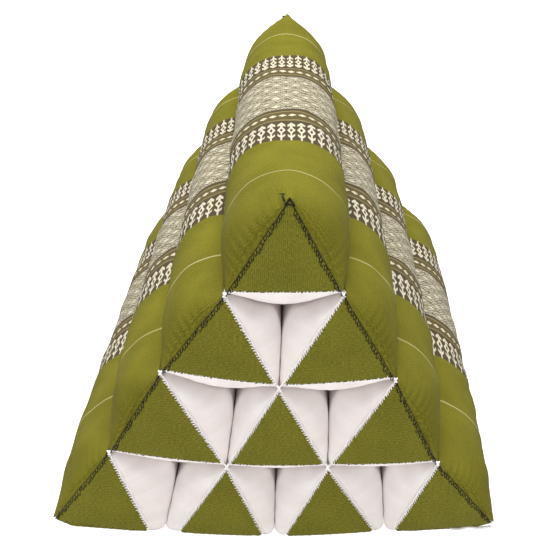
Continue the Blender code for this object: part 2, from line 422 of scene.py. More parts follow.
@dataclass(frozen=True)
class MuslinFinish:
    """Undyed muslin: a plain weave with slubs and a little unevenness of tone."""

    name: str = "casing_muslin"
    thread_pitch: float = 0.0007
    light: tuple = linear(236, 230, 228)
    dull: tuple = linear(218, 208, 203)

    def material(self) -> bpy.types.Material:
        """Make the muslin; its UV is in metres across and along."""
        weave = Weave(self.name, 0.9, 0.05)
        across, along = weave.uv()
        where = weave.join(across, along)
        slub = weave.noise(weave.join(across * 0.25, along), 900.0, 2.0)
        cross_slub = weave.noise(weave.join(across, along * 0.25), 900.0, 2.0)
        tone = weave.noise(where, 45.0, 4.0)
        ribs = across.wave(self.thread_pitch) * along.wave(self.thread_pitch)
        colour = weave.mix(tone.over(0.48, 0.35), self.dull, self.light)
        height = ribs * 0.35 + slub * 0.35 + cross_slub * 0.3
        return weave.dress(colour, height, 0.00022)


@dataclass(frozen=True)
class PanelFinish:
    """Green cotton of the end panels, with fine ribs along the base of each panel."""

    name: str = "panel_green"
    rib_pitch: float = 0.0014
    light: tuple = linear(122, 118, 40)
    deep: tuple = linear(84, 82, 24)

    def material(self) -> bpy.types.Material:
        """Make the panel cloth; its UV is in metres across and up."""
        weave = Weave(self.name, 0.88, 0.03)
        across, up = weave.uv()
        where = weave.join(across, up)
        stretch = weave.noise(where, 60.0, 3.0)
        bent = up + stretch * 0.0012
        rib = bent.wave(self.rib_pitch)
        thread = across.wave(0.0008)
        fleck = weave.noise(weave.join(across * 0.35, up), 1400.0, 2.0)
        tone = weave.noise(where, 28.0, 3.0)
        share = rib * 0.10 + fleck * 0.70 + tone * 0.2
        colour = weave.mix(share.over(0.50, 0.20), self.deep, self.light)
        return weave.dress(colour, rib * 0.3 + thread * 0.2 + fleck * 0.5, 0.00030)


@dataclass(frozen=True)
class CoverFinish:
    """Woven cover cloth: green ends with a thin stripe, two figured borders and a cream middle.

    Distances from the middle of the cloth are in metres along it. The figures repeat every
    pitch across it.
    """

    name: str = "cover_weave"
    pitch: float = 0.0080
    middle_edge: float = 0.0476
    dash_edge: float = 0.0764
    flower_edge: float = 0.1205
    stripe: float = 0.1925
    stripe_width: float = 0.0017
    green: tuple = linear(115, 110, 33)
    green_deep: tuple = linear(85, 82, 21)
    taupe: tuple = linear(70, 61, 45)
    brown: tuple = linear(84, 74, 46)
    cream: tuple = linear(184, 177, 155)
    straw: tuple = linear(120, 109, 76)
    stripe_tone: tuple = linear(150, 145, 98)
    pale: tuple = linear(166, 160, 139)
    bright: tuple = linear(180, 174, 153)
    ink: tuple = linear(80, 71, 50)

    def flower(self, across: Field, out: Field) -> Field:
        """Plant figure: a capped head, a ringed flower and two leaves on a stem.

        Args:
            across: Place across, in pitches.
            out: Place along the border, 0 at its inner edge and 1 at the green cloth.

        Returns:
            1 on the figure and 0 on its ground.
        """
        side = abs(across.cell())
        # Head: a cap between two sloping edges, with a ringed eye and a neck below it.
        cap = (out - 0.07 - side * 0.30).over(0.0, 0.012)
        cap = cap.both((out - 0.23 - side * 0.14).under(0.0, 0.012))
        cap = cap.both(side.under(0.39, 0.03))
        eye = (side * side * 9.0 + (out - 0.20) * (out - 0.20) * 700.0).under(0.10, 0.06)
        neck = side.under(0.12, 0.04).both(out.within(0.18, 0.36, 0.01))
        # Bloom: a lozenge with an open heart.
        ring = side * 0.44 + abs(out - 0.475)
        bloom = ring.under(0.190, 0.012).both(side.under(0.40, 0.03))
        heart = (side * side * 62.0 + (out - 0.475) * (out - 0.475) * 210.0).under(1.0, 0.35)
        # Leaves: a band that slopes down on both sides of the stem.
        leaf_line = out - 0.855 + side * 0.36
        leaves = abs(leaf_line).under(0.052, 0.014).both(side.under(0.37, 0.03))
        stem = side.under(0.085, 0.03).both(out.over(0.62, 0.01))
        head = cap.either(neck) * eye.invert()
        return head.either(bloom * heart.invert()).either(leaves).either(stem)

    def middle(self, weave: Weave, across: Field, along: Field) -> Field:
        """Colour of the cream middle: bright lozenges with dark knots on a finely marked ground."""
        rise = along / 0.0205
        one = (across * 0.47 + rise).cell()
        two = (across * 0.47 - rise).cell()
        sideways, lengthways = abs(one + two) * 0.5, abs(one - two) * 0.5
        lens = sideways * 3.6 + lengthways * 6.4
        grain = weave.noise(weave.join(across * 3.1, along * 620.0), 1.0, 2.0)
        coarse = weave.noise(weave.join(across * 1.3, along * 260.0), 1.0, 2.0)
        fine_one = (across * 2.35 + along / 0.0046).cell()
        fine_two = (across * 2.35 - along / 0.0046).cell()
        specks = abs(fine_one).either(abs(fine_two)).under(0.33, 0.10)
        field_marks = specks * grain.over(0.38, 0.10)
        rings = abs(lens - 1.45).under(0.30, 0.15) * coarse.over(0.47, 0.10)
        knots = abs(one).both(abs(two)).over(0.375, 0.04)
        lozenge = lens.under(0.86, 0.15) * coarse.over(0.36, 0.10)
        marks = (field_marks * lozenge.invert()).either(rings).either(knots)
        ground = weave.mix(lozenge, self.pale, self.bright)
        return weave.mix(marks * 0.9, ground, self.ink)

    def material(self) -> bpy.types.Material:
        """Make the cover cloth; its UV is pitches across, and metres along from the middle."""
        weave = Weave(self.name, 0.9, 0.0)
        across, along = weave.uv()
        away = abs(along)
        where = weave.join(across * self.pitch, along)
        drift = (weave.noise(where, 30.0, 2.0) - 0.5) * 0.0012
        away = away + drift
        soft = 0.00018
        tone = weave.noise(where, 26.0, 4.0)
        fleck = weave.noise(weave.join(across * 7.0, along * 1500.0), 1.0, 2.0)
        ribbed = (along + tone * 0.0040).wave(0.0019)
        share = tone * 0.25 + fleck * 0.66 + ribbed * 0.09
        ground = weave.mix(share.over(0.5, 0.15), self.green_deep, self.green)

        out = (away - self.dash_edge) / (self.flower_edge - self.dash_edge)
        figure = self.flower(across, out)
        flowers = weave.mix(figure, self.taupe, self.cream)

        inner = (away - self.middle_edge) / (self.dash_edge - self.middle_edge)
        side = abs((across + 0.12).cell())
        rails = inner.within(0.20, 0.27, 0.012).either(inner.within(0.90, 0.965, 0.012))
        dash = (side * 0.24 + abs(inner - 0.565)).under(0.112, 0.012).both(side.under(0.40, 0.03))
        edge = inner.under(0.15, 0.012)
        dashes = self.brown
        for share, tone_above in ((edge, self.taupe), (rails, self.straw), (dash, self.cream)):
            dashes = weave.mix(share, dashes, tone_above)

        middle = self.middle(weave, across, along)

        stripe = abs(away - self.stripe).under(self.stripe_width / 2.0, 0.0003)
        colour = weave.mix(stripe, ground, self.stripe_tone)
        bands = ((self.flower_edge, flowers), (self.dash_edge, dashes), (self.middle_edge, middle))
        for limit, band in bands:
            colour = weave.mix(away.under(limit, soft), colour, band)

        rib = along.wave(0.0013)
        raised = figure * out.within(0.0, 1.0, 0.01) * 0.5
        height = rib * 0.35 + fleck * 0.35 + raised + dash * inner.within(0.0, 1.0, 0.01) * 0.4
        return weave.dress(colour, height, 0.00030)


# --- shape of the tubes -------------------------------------------------------------------


@dataclass
class Stations:
    """Cross-sections along a tube, from the front panel to the back one."""

    length: float
    near: int = 26
    middle: int = 30
    rounding: float = 0.060

    def __post_init__(self) -> None:
        """Work out depths behind the nearest panel, closer together near the panels."""
        close = self.rounding * (1.0 - np.cos(np.linspace(0.0, math.pi / 2.0, self.near)))
        far = np.linspace(self.rounding, self.length / 2.0, self.middle)[1:]
        half = np.concatenate([close, far])
        self.depth = np.concatenate([half, half[::-1][1:]])
        self.end = np.concatenate([-np.ones(len(half)), np.ones(len(half) - 1)])
        self.share = np.where(self.end < 0.0, self.depth / self.length, 1.0 - self.depth / self.length)


@dataclass
class Lattice:
    """Seams of the cushion, read from the end panels of the frame.

    The inset is how far a panel's corner lies from its seam, towards the panel's middle. The
    corners are picked among a panel's points within the rim depth of its innermost one. The
    inner feet of the lowest row come down to the inner foot height.
    """

    inset: float = 0.0018
    rim_depth: float = 0.012
    inner_foot_height: float = 0.0010
    feet: dict = field(default_factory=dict)
    seams: dict = field(default_factory=dict)

    def __post_init__(self) -> None:
        """Read the corners of each panel, and average those that share a seam."""
        shared: dict = {}
        for end in End:
            for row in range(ROWS):
                for place in range(row + 1):
                    corners = self.panel_corners(end, row, place)
                    self.feet[end, row, place] = corners
                    keys = ((row, place), (row + 1, place), (row + 1, place + 1))
                    for key, corner in zip(keys, corners):
                        shared.setdefault((end, *key), []).append(corner)
        self.seams = {key: np.mean(corners, axis=0) for key, corners in shared.items()}
        front, back = self.seams[End.FRONT, 0, 0], self.seams[End.BACK, 0, 0]
        self.length = float(back[1] - front[1])

    def panel_corners(self, end: End, row: int, place: int) -> np.ndarray:
        """Seam corners (apex, left foot, right foot) of one end panel's CAD node."""
        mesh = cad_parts[f"panel_{end.word}_{row + 1}_{place + 1}"].data
        flat = np.empty(len(mesh.vertices) * 3, np.float32)
        mesh.vertices.foreach_get("co", flat)
        points = flat.reshape(-1, 3).astype(float)
        out = points[:, 1] * end.value
        inner = points[out < out.min() + self.rim_depth]
        picks = [inner[:, 2].argmax(), inner[:, 0].argmin(), inner[:, 0].argmax()]
        corners = inner[picks]
        middle = corners.mean(axis=0)
        out = corners - middle
        out[:, 1] = 0.0
        corners = corners + out * (self.inset / np.linalg.norm(out, axis=1, keepdims=True))
        if row == ROWS - 1:
            inner_feet = [index for index, open_side in ((1, place > 0), (2, place < row)) if open_side]
            corners[inner_feet, 2] = np.minimum(corners[inner_feet, 2], self.inner_foot_height)
        return corners


@dataclass
class TubeShape:
    """Formulas for the three walls of one tube."""

    lattice: Lattice
    row: int
    place: int
    # How far the left and right outer walls of each row swell, and over what distance.
    outer_bulge: tuple = ((0.0230, 0.0230), (0.0215, 0.0215), (0.0210, 0.0210), (0.0150, 0.0180))
    outer_reach: float = 0.042
    late_share: float = 0.18
    late_reach: float = 0.120
    # A pocket's side walls fill out over the side reach. From quick_from of the way down, and
    # over the next quick_span of it, that reach shrinks by quick_share.
    side_reach: float = 0.040
    quick_from: float = 0.45
    quick_span: float = 0.5
    quick_share: float = 0.8
    press: float = 1.40
    roof_reach: float = 0.022
    base_reach: float = 0.020
    # The lower edge of an end face comes down by rest_depth of its height over rest_share of its
    # width at each corner. The base behind it comes down to the floor over level_share.
    rest_share: float = 0.22
    rest_depth: float = 0.85
    level_share: float = 0.09
    foot_reach: float = 0.005
    bow_reach: float = 0.100
    ridge_sink: float = 0.0095
    ridge_reach: float = 0.110
    corner_inset: float = 0.0008
    # Share of a side wall, at each of its seams, that stays straight beside the seam.
    seam_share: float = 0.035
    slit_gap: float = 0.00003
    # The roundness is how far a shoulder's inner control points lie from its ends.
    shoulder: float = 0.0095
    funnel: float = 0.0250
    roundness: float = 0.55
    # Where each pocket's slit starts across its roof, and how far the roof sags.
    slits: dict = field(
        default_factory=lambda: {
            (1, 0): (0.49, 0.0175),
            (2, 0): (0.63, 0.0170),
            (2, 1): (0.44, 0.0160),
            (3, 0): (0.58, 0.0110),
            (3, 1): (0.48, 0.0110),
            (3, 2): (0.51, 0.0105),
        }
    )

    @property
    def label(self) -> str:
        """Row and place of the tube, counted from 1, as node names spell them."""
        return f"{self.row + 1}_{self.place + 1}"

    @property
    def last_row(self) -> bool:
        """Whether the tube lies on the floor."""
        return self.row == ROWS - 1

    def seam_ends(self, corner: Corner) -> tuple:
        """Front and back places of the seam at a corner."""
        line = self.row + (corner is not Corner.APEX)
        place = self.place + (corner is Corner.RIGHT_FOOT)
        return self.lattice.seams[End.FRONT, line, place], self.lattice.seams[End.BACK, line, place]

    def corner_line(self, corner: Corner, stations: Stations) -> tuple:
        """Place (across, up) of a corner at every station, and the bow of the end there.

        Between the ends the corner runs straight from seam to seam. At the ends it starts
        from the corner of its own panel, and the ridge of the top tube rounds off and sinks.
        """
        front, back = self.seam_ends(corner)
        share = stations.share[:, None]
        line = front[[0, 2]] * (1.0 - share) + back[[0, 2]] * share
        offsets = [
            (self.lattice.feet[end, self.row, self.place][corner.value] - seam)[[0, 2]]
            for end, seam in zip(End, (front, back))
        ]
        own = np.where(stations.end[:, None] < 0.0, *offsets)
        line = line + own * (1.0 - swell(stations.depth, self.foot_reach))[:, None]
        if self.row == 0 and corner is Corner.APEX:
            line[:, 1] -= self.ridge_sink * ease(stations.depth / self.ridge_reach)
        half = self.lattice.length / 2.0
        bow = np.where(stations.end < 0.0, -front[1] - half, back[1] - half)
        return line, bow

    def corners(self, stations: Stations) -> tuple:
        """Lines of all three corners, drawn in a little, and their bows."""
        found = [self.corner_line(corner, stations) for corner in Corner]
        lines = np.array([line for line, _ in found])
        middle = lines.mean(axis=0)
        out = lines - middle
        lines = lines - out * (self.corner_inset / np.linalg.norm(out, axis=2, keepdims=True))
        return lines, np.array([bow for _, bow in found])

    def pocket(self, wall: Wall) -> tuple | None:
        """Row line and place of the pocket that a wall faces, or None for an outer wall."""
        if wall is Wall.UNDER:
            return None if self.last_row else (self.row + 1, self.place)
        place = self.place - 1 if wall is Wall.LEFT else self.place
        return (self.row, place) if 0 <= place < self.row else None

    def outer(self, start: np.ndarray, stop: np.ndarray, bulge: np.ndarray, u: np.ndarray) -> np.ndarray:
        """Circular arcs from start to stop, one at each station, that swell to the right.

        With half angle h the arc is radius * (sin a, cos a - cos h) for a from -h to h, laid
        along the chord and its outward normal.
        """
        chord = stop - start
        span = np.linalg.norm(chord, axis=1, keepdims=True)
        half = np.maximum(2.0 * np.arctan(2.0 * bulge[:, None] / span), 1e-4)
        angle = (2.0 * u[None, :] - 1.0) * half
        radius = span / (2.0 * np.sin(half))
        direction = chord / span
        outward = np.column_stack([direction[:, 1], -direction[:, 0]])
        along = (radius * np.sin(angle))[..., None] * direction[:, None]
        proud = (radius * (np.cos(angle) - np.cos(half)))[..., None] * outward[:, None]
        return ((start + stop) / 2.0)[:, None] + along + proud

    def pocket_points(self, pocket: tuple, end: End) -> tuple:
        """Upper left, upper right and lower seams of a pocket at one end."""
        line, place = pocket
        seams = self.lattice.seams
        keys = ((line, place), (line, place + 1), (line + 1, place + 1))
        return tuple(seams[(end, *key)][[0, 2]] for key in keys)

    def side_profile(self, pocket: tuple, side: int, end: End, u: np.ndarray) -> np.ndarray:
        """Full shape of a pocket's side wall at one end, from its upper seam to its lower one.

        It follows the sagging roof, turns down through a rounded shoulder, a cubic curve, and
        runs on along the slit. Side -1 is the wall on the left of the slit, +1 the right.
        """
        left, right, foot = self.pocket_points(pocket, end)
        slit_share, sag = self.slits[pocket]

        def roof(share: np.ndarray) -> np.ndarray:
            """Points of the sagging roof at shares across it."""
            line = left + (right - left) * share[:, None]
            return line - np.outer(sag * 4.0 * share * (1.0 - share), [0.0, 1.0])

        turn = self.shoulder / np.linalg.norm(right - left)
        shoulder = slit_share + side * turn
        start = 0.0 if side < 0 else 1.0
        hung = roof(np.linspace(start, shoulder, 40))
        top = roof(np.array([slit_share]))[0]
        run = foot - top
        landing = top + run * (self.funnel / np.linalg.norm(run))
        slope = (hung[-1] - hung[-3]) / np.linalg.norm(hung[-1] - hung[-3])
        t = np.linspace(0.0, 1.0, 30)[:, None]
        lean_in = hung[-1] + slope * (self.roundness * self.shoulder)
        drop_in = landing - run / np.linalg.norm(run) * (self.roundness * self.funnel)
        turned = (
            (1 - t) ** 3 * hung[-1] + 3 * (1 - t) ** 2 * t * lean_in
            + 3 * (1 - t) * t**2 * drop_in + t**3 * landing
        )
        down = landing + (foot - landing) * np.linspace(0.0, 1.0, 20)[1:, None]
        curve = np.concatenate([hung[:-1], turned, down])
        curve[:, 1] -= self.slit_gap
        curve[:, 0] += side * self.slit_gap
        return resample(curve, u)

    def inner_side(
        self, wall: Wall, start: np.ndarray, stop: np.ndarray, stations: Stations, u: np.ndarray
    ) -> np.ndarray:
        """Side wall of a pocket: straight at the panel, full a little way behind it."""
        pocket = self.pocket(wall)
        side = +1 if wall is Wall.LEFT else -1
        downward = u if wall is Wall.LEFT else 1.0 - u
        front = self.side_profile(pocket, side, End.FRONT, downward)
        back = self.side_profile(pocket, side, End.BACK, downward)
        share = stations.share[:, None, None]
        full = front * (1.0 - share) + back * share
        near = np.clip(1.0 - np.abs(u - np.round(u)) / self.seam_share, 0.0, 1.0)[None, :, None]
        flat = straight(start, stop, u)
        full = full * (1.0 - near) + flat * near
        low = ease((downward - self.quick_from) / self.quick_span)
        reach = self.side_reach * (1.0 - self.quick_share * low)
        e = np.minimum(1.0, self.press * swell(stations.depth[:, None], reach[None, :]))[..., None]
        return flat * (1.0 - e) + full * e

    def floor_rest(self, u: np.ndarray) -> np.ndarray:
        """Share of its height that the lower edge of an end face has lost at u across it."""
        return self.rest_depth * ease(np.minimum(u, 1.0 - u) / self.rest_share)

    def under(self, start: np.ndarray, stop: np.ndarray, stations: Stations, u: np.ndarray) -> np.ndarray:
        """Underside: a sagging roof over a pocket, or flat on the floor."""
        flat = straight(start, stop, u)
        pocket = self.pocket(Wall.UNDER)
        if pocket is None:
            e = swell(stations.depth, self.base_reach)[:, None]
            level = ease(np.minimum(u, 1.0 - u) / self.level_share)[None, :]
            flat[..., 1] *= 1.0 - np.maximum(e * level, self.floor_rest(u)[None, :])
            return flat
        sag = self.slits[pocket][1] - self.slit_gap
        e = swell(stations.depth, self.roof_reach)[:, None]
        flat[..., 1] -= sag * e * (4.0 * u * (1.0 - u))[None, :]
        return flat

    def wall(self, wall: Wall, stations: Stations, u: np.ndarray) -> np.ndarray:
        """Points (station, u, 3) of one wall, in ring order.

        Args:
            wall: Which wall.
            stations: Cross-sections along the tube.
            u: Shares across the wall.

        Returns:
            The surface as a grid.
        """
        lines, bows = self.corners(stations)
        first, last = (corner.value for corner in WALL_CORNERS[wall])
        start, stop = lines[first], lines[last]
        if wall is Wall.UNDER:
            section = self.under(start, stop, stations, u)
        elif self.pocket(wall) is None:
            early = (1.0 - self.late_share) * swell(stations.depth, self.outer_reach)
            late = self.late_share * ease(stations.depth / self.late_reach)
            bulge = self.outer_bulge[self.row][wall is Wall.RIGHT] * (early + late)
            section = self.outer(start, stop, bulge, u)
        else:
            section = self.inner_side(wall, start, stop, stations, u)
        bow = bows[first][:, None] * (1.0 - u) + bows[last][:, None] * u
        fade = np.clip(1.0 - stations.depth / self.bow_reach, 0.0, None)[:, None] ** 2
        half = self.lattice.length / 2.0
        along = stations.end[:, None] * (half - stations.depth[:, None] + bow * fade)
        return np.stack([section[..., 0], along, section[..., 1]], axis=-1)


# --- pieces -------------------------------------------------------------------------------


@dataclass
class EndFace:
    """Slightly crowned triangle that closes one end of a tube."""

    shape: TubeShape
    end: End
    crown_power: float = 0.45

    def __post_init__(self) -> None:
        """Take the corners of the face from the tube's own outline."""
        stations = Stations(self.shape.lattice.length)
        lines, bows = self.shape.corners(stations)
        index = 0 if self.end is End.FRONT else -1
        self.corners = lines[:, index]
        self.ends = self.end.value * (self.shape.lattice.length / 2.0 + bows[:, index])

    def shares(self, points: np.ndarray) -> np.ndarray:
        """Barycentric shares (..., 3) of points (..., 2) in the triangle of the corners."""
        a, b, c = self.corners
        base = np.column_stack([b - a, c - a])
        two = np.linalg.solve(base, (points - a).reshape(-1, 2).T).T.reshape(points.shape)
        return np.concatenate([1.0 - two.sum(axis=-1, keepdims=True), two], axis=-1)

    def lay(self, points: np.ndarray, lift: np.ndarray | float, crown: float) -> np.ndarray:
        """Place flat points on the face.

        The crown rises as the product of the three shares to a power below 1, so it is
        steep at the rim and level in the middle.

        Args:
            points: Places (..., 2) across and up.
            lift: Height above the crowned face.
            crown: Height of the crown at the middle.

        Returns:
            Points (..., 3).
        """
        share = self.shares(points)
        product = 27.0 * np.clip(share, 0.0, 1.0).prod(axis=-1)
        out = share @ self.ends + self.end.value * (lift + crown * product**self.crown_power)
        return np.stack([points[..., 0], out, points[..., 1]], axis=-1)


@dataclass
class Casing:
    """Filled muslin casing of one tube."""

    shape: TubeShape
    material: bpy.types.Material
    steps: int = 22
    cap_rings: int = 9
    cap_crown: float = 0.0046
    cover_room: float = 0.0005
    cover_slack: float = 0.0003
    slack_reach: float = 0.03
    slack_pitch: float = 0.05
    pocket_room: float = 0.00003
    # The puckers grow from the panel over the start, then die away.
    pucker: float = 0.00035
    pucker_pitch: float = 0.0062
    pucker_start: float = 0.003
    pucker_fade: float = 0.007

    def draw_in(self, rings: np.ndarray, walked: np.ndarray, stations: Stations) -> np.ndarray:
        """How far each point of the rings lies inside the formula's wall.

        Outer walls stay under their cover strips. Walls in a pocket touch their neighbours,
        and gather a little beside the seams of the end panels.
        """
        shape = self.shape
        deep = swell(stations.depth, self.slack_reach)[:, None]
        seed = 11 + shape.row * 7 + shape.place
        rise = ripple(walked[None, :], rings[..., 1], seed, self.slack_pitch)
        gather = np.cos(walked * math.tau / self.pucker_pitch + shape.place)[None, :]
        near = swell(stations.depth, self.pucker_start) * np.exp(-stations.depth / self.pucker_fade)
        keeps = []
        for wall in Wall:
            columns = slice(wall.value * self.steps, (wall.value + 1) * self.steps)
            if shape.pocket(wall) is None:
                keeps.append(self.cover_room + self.cover_slack * (1.0 + rise[:, columns]) * deep)
            else:
                folds = self.pucker * (1.0 + gather[:, columns]) * near[:, None]
                keeps.append(self.pocket_room + folds)
        return np.concatenate(keeps, axis=1)

    def build(self) -> bpy.types.Object:
        shape = self.shape
        stations = Stations(shape.lattice.length)
        u = np.linspace(0.0, 1.0, self.steps + 1)[:-1]
        rings = np.concatenate([shape.wall(wall, stations, u) for wall in Wall], axis=1)
        count, size = rings.shape[:2]
        walked = walk(rings[count // 2])
        floor = rings[..., 2] < 1e-6
        inward = rings.mean(axis=1, keepdims=True) - rings
        inward[..., 1] = 0.0
        reach = np.linalg.norm(inward, axis=2, keepdims=True)
        rings = rings + inward / reach * self.draw_in(rings, walked, stations)[..., None]
        rings[..., 2] = np.where(floor, 0.0, rings[..., 2])
        uv = np.stack([np.broadcast_to(walked, (count, size)), rings[..., 1]], axis=-1)
        points, coordinates = [rings.reshape(-1, 3)], [uv.reshape(-1, 2)]
        faces = [grid_quads(count, size, closed=True)]
        total = count * size
        for station, end in ((0, End.FRONT), (count - 1, End.BACK)):
            face = EndFace(shape, end)
            rim = rings[station][:, [0, 2]]
            middle = face.corners.mean(axis=0)
            shares = np.linspace(1.0, 0.0, self.cap_rings + 1)[1:-1] ** 0.5
            inner = middle + (rim - middle) * shares[::1, None, None]
            cap = face.lay(inner, 0.0, self.cap_crown)
            hub = face.lay(middle[None], 0.0, self.cap_crown)
            points += [cap.reshape(-1, 3), hub]
            coordinates += [inner.reshape(-1, 2), middle[None]]
            numbers = np.vstack([
                station * size + np.arange(size),
                total + np.arange(cap.shape[0] * size).reshape(-1, size),
            ])
            beside = np.roll(numbers, -1, axis=1)
            quads = np.stack([numbers[:-1], beside[:-1], beside[1:], numbers[1:]], axis=-1)
            faces.append(quads.reshape(-1, 4))
            total += cap.shape[0] * size
            faces.append(np.column_stack([numbers[-1], beside[-1], np.full(size, total)]))
            total += 1
        name = f"casing_{shape.label}"
        uv = np.concatenate(coordinates)
        piece = make_mesh(name, np.concatenate(points), faces, uv, outward=True)
        piece.data.materials.append(self.material)
        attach(piece, BODY)
        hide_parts(f"tube_{shape.label}")
        return piece


@dataclass
class CoverStrip:
    """Woven cloth over the outer wall or walls of a tube."""

    shape: TubeShape
    walls: tuple
    node: str
    material: bpy.types.Material
    pitch: float
    steps: int = 44
    lift: float = 0.0003
    thickness: float = 0.0010
    edge_share: float = 0.012
    pucker: float = 0.0008
    pucker_start: float = 0.003
    pucker_fade: float = 0.0125
    stitch_pitch: float = 0.0078
    wander_length: float = 0.021
    unevenness: float = 0.0010
    soft_pitch: float = 0.07
    soft_reach: float = 0.06
    # Height that the folds keep below them, and the width along each long edge where they fade.
    slack: float = 0.0003
    calm_margin: float = 0.012
    # How far the pattern is drawn out towards the back, and how far its middle lies back.
    back_tension: float = 1.04
    set_back: float = 0.0

    def build(self) -> bpy.types.Object:
        """Lay the strip on its walls, with small puckers where it is sewn to the panels."""
        shape = self.shape
        stations = Stations(shape.lattice.length, near=34, middle=40)
        grids = []
        for number, wall in enumerate(self.walls):
            low = self.edge_share if number == 0 else 0.0
            high = 1.0 - self.edge_share if number == len(self.walls) - 1 else 1.0
            u = np.linspace(low, high, self.steps + 1)
            if number:
                u = u[1:]
            grids.append(shape.wall(wall, stations, u))
        grid = np.concatenate(grids, axis=1)
        normals = surface_normals(grid)
        walked = walk(grid[len(stations.depth) // 2])
        depth = stations.depth[:, None]
        seed = 31 + shape.row * 5 + self.walls[0].value
        wander = 0.6 + 0.4 * np.sin(walked / self.wander_length + seed)[None, :]
        folds = np.cos(walked * math.tau / self.stitch_pitch)[None, :] * wander
        drawn = folds * np.exp(-depth / self.pucker_fade) * swell(depth, self.pucker_start)
        soft = ripple(walked[None, :], grid[..., 1], seed, self.soft_pitch)
        soft = soft * swell(depth, self.soft_reach)
        inner = np.minimum(walked, walked[-1] - walked) / self.calm_margin
        uneven = (self.pucker * drawn + self.unevenness * soft) * np.clip(inner, 0.0, 1.0)[None, :]
        height = self.lift + self.slack + uneven
        grid = grid + normals * np.maximum(height, self.lift)[..., None]
        middle = walked[-1] / 2.0 if len(self.walls) > 1 else 0.0
        across = (walked - middle) / self.pitch
        along = grid[..., 1] - self.set_back
        along = np.where(along > 0.0, along * self.back_tension, along)
        uv = np.stack([np.broadcast_to(across, grid.shape[:2]), along], axis=-1)
        faces = grid_quads(*grid.shape[:2])[:, ::-1]
        name = self.node.replace("cover", "strip")
        piece = make_mesh(name, grid.reshape(-1, 3), [faces], uv.reshape(-1, 2))
        piece.data.materials.append(self.material)
        thicken(piece, self.thickness)
        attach(piece, BODY)
        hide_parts(self.node)
        return piece


@dataclass(frozen=True)
class Edge:
    """One edge of an end panel: a straight line in the face, with its inward direction."""

    start: np.ndarray
    stop: np.ndarray
    inward: np.ndarray
    inset: float
    outer: bool
    base: bool

    @property
    def length(self) -> float:
        """Length of the seam beside the edge."""
        return float(np.linalg.norm(self.stop - self.start))

    def at(self, run: np.ndarray, depth: np.ndarray) -> np.ndarray:
        """Points at distances along the seam and inwards from it."""
        direction = (self.stop - self.start) / self.length
        return self.start + run[..., None] * direction + depth[..., None] * self.inward


@dataclass
class EndPanel:
    """Triangular green panel sewn into one end of a tube."""

    face: EndFace
    material: bpy.types.Material
    side_steps: int = 40
    tip_steps: int = 8
    rings: int = 16
    crown: float = 0.0050
    lift: float = 0.0003
    unevenness: float = 0.0004
    thickness: float = 0.0008
    # How far from a corner each edge gives way to the rounded tip.
    tip_cut: float = 0.0068
    apex_cut: float = 0.0022
    outer_inset: float = 0.0004
    pocket_inset: float = 0.0011
    base_inset: float = 0.0030
    floor_inset: float = 0.0006
    scallop: float = 0.00035
    scallop_pitch: float = 0.0054

    def edges(self) -> list:
        """Edges in ring order, with how far the panel stays inside each."""
        shape, corners = self.face.shape, self.face.corners
        middle = corners.mean(axis=0)
        found = []
        for wall in Wall:
            first, last = (corners[corner.value] for corner in WALL_CORNERS[wall])
            along = (last - first) / np.linalg.norm(last - first)
            inward = np.array([-along[1], along[0]])
            inward = inward * np.sign((middle - first) @ inward)
            outer = wall is not Wall.UNDER and shape.pocket(wall) is None
            base = wall is Wall.UNDER
            inset = self.outer_inset if outer else self.pocket_inset
            if base:
                inset = self.floor_inset if shape.last_row else self.base_inset
            found.append(Edge(first, last, inward, inset, outer, base))
        return found

    def outline(self) -> np.ndarray:
        """Flat outline (n, 2): three slightly scalloped edges joined by rounded tips."""
        edges = self.edges()
        shape = self.face.shape
        rims, tips = [], []
        cuts = [self.apex_cut if shape.row == 0 else self.tip_cut, self.tip_cut, self.tip_cut]
        for number, edge in enumerate(edges):
            run = np.linspace(cuts[number], edge.length - cuts[(number + 1) % 3], self.side_steps)
            wave = np.abs(np.sin(math.pi * run / self.scallop_pitch))
            depth = edge.inset + self.scallop * (1.0 - wave)
            if edge.base and shape.last_row:
                height = edge.at(run, np.zeros_like(run))[:, 1]
                depth = depth - height * shape.floor_rest(run / edge.length)
            rims.append(edge.at(run, depth))
        for number, edge in enumerate(edges):
            following = edges[(number + 1) % 3]
            start, stop = rims[number][-1], rims[(number + 1) % 3][0]
            tip = following.at(np.array(edge.inset), np.array(following.inset))
            t = np.linspace(0.0, 1.0, self.tip_steps + 2)[1:-1, None]
            tips.append((1 - t) ** 2 * start + 2 * t * (1 - t) * tip + t**2 * stop)
        return np.concatenate([part for pair in zip(rims, tips) for part in pair])

    def build(self) -> bpy.types.Object:
        """Make the panel as rings that shrink to its middle, laid on the crowned face."""
        face = self.face
        shape = face.shape
        rim = self.outline()
        middle = face.corners.mean(axis=0)
        shares = np.linspace(1.0, 0.0, self.rings + 1)[:-1][:, None, None]
        flat = middle + (rim - middle) * shares
        soft = ripple(flat[..., 0], flat[..., 1], 71 + shape.row * 3 + shape.place, 0.04)
        lift = self.lift + self.unevenness * (1.0 + soft) * (1.0 - shares[..., 0])
        points = face.lay(flat, lift, self.crown)
        hub = face.lay(middle[None], self.lift + self.unevenness, self.crown)
        size = rim.shape[0]
        quads = grid_quads(self.rings, size, closed=True)
        last = (self.rings - 1) * size + np.arange(size)
        fan = np.column_stack([last, np.roll(last, -1), np.full(size, self.rings * size)])
        if face.end is End.BACK:
            quads, fan = quads[:, ::-1], fan[:, ::-1]
        vertices = np.vstack([points.reshape(-1, 3), hub])
        uv = vertices[:, [2, 0]] if shape.row == 0 else vertices[:, [0, 2]]
        name = f"end_{face.end.word}_{shape.label}"
        piece = make_mesh(name, vertices, [quads, fan], uv)
        piece.data.materials.append(self.material)
        thicken(piece, self.thickness)
        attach(piece, BODY)
        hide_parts(f"panel_{face.end.word}_{shape.label}")
        return piece


